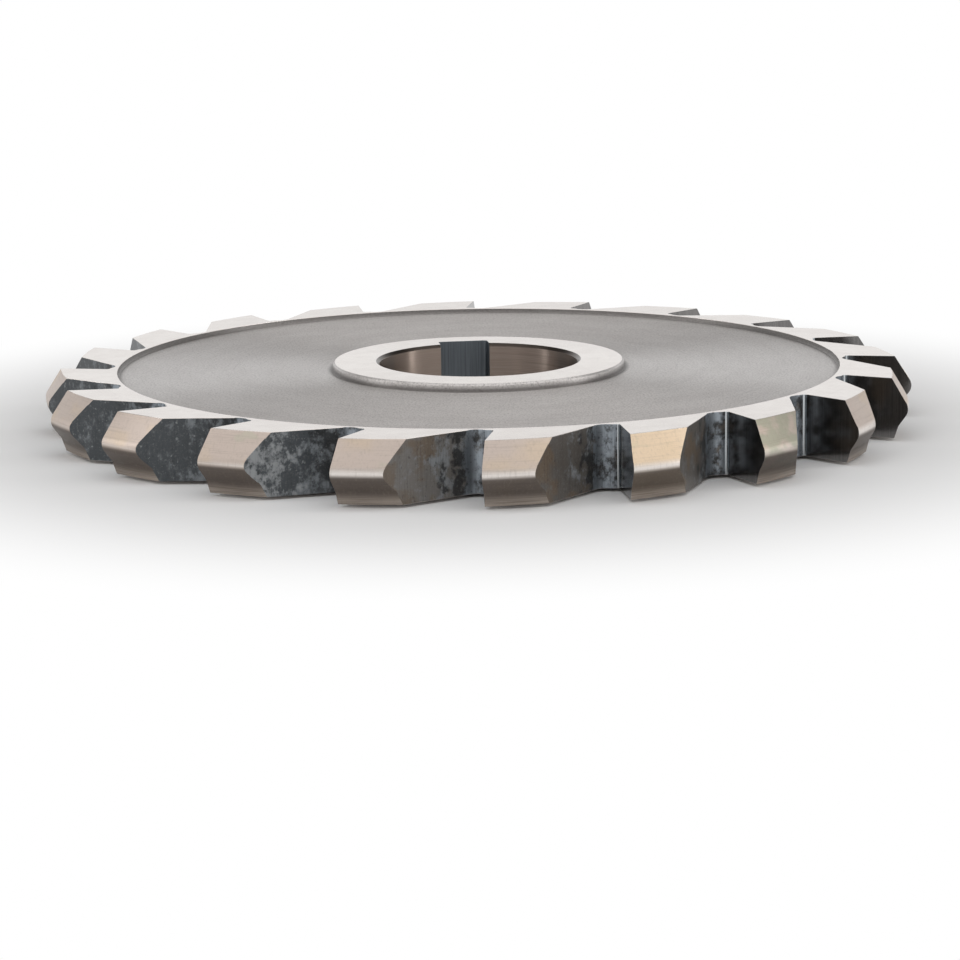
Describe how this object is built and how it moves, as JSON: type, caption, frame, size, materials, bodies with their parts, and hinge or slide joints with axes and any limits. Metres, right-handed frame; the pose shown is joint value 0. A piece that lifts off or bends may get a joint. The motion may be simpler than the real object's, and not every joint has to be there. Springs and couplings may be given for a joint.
{
  "type": "milling cutter",
  "caption": "Form-relieved milling cutter: a thin disc with a keyed arbor bore, raised hubs and vee-profiled teeth with ground cutting faces and deep chip gullets.",
  "frame": {"origin": "on the bore's axis, in the plane of the lower hub face that the cutter lies on", "axes": "+Z along the bore's axis towards the upper hub face, +Y from the axis through the middle of the keyway, +X to the right of the keyway as seen from above; seen from above the cutting edges lead clockwise"},
  "size_m": [0.1388, 0.1388, 0.0105],
  "materials": {
    "tool_steel": "hubs, tooth sides, lands and cutting faces ground bright, web matt turned, gullets and keyway left with a black heat-treatment skin"
  },
  "bodies": {
    "root": {"milling_cutter": "tool_steel"}
  },
  "joints": []
}
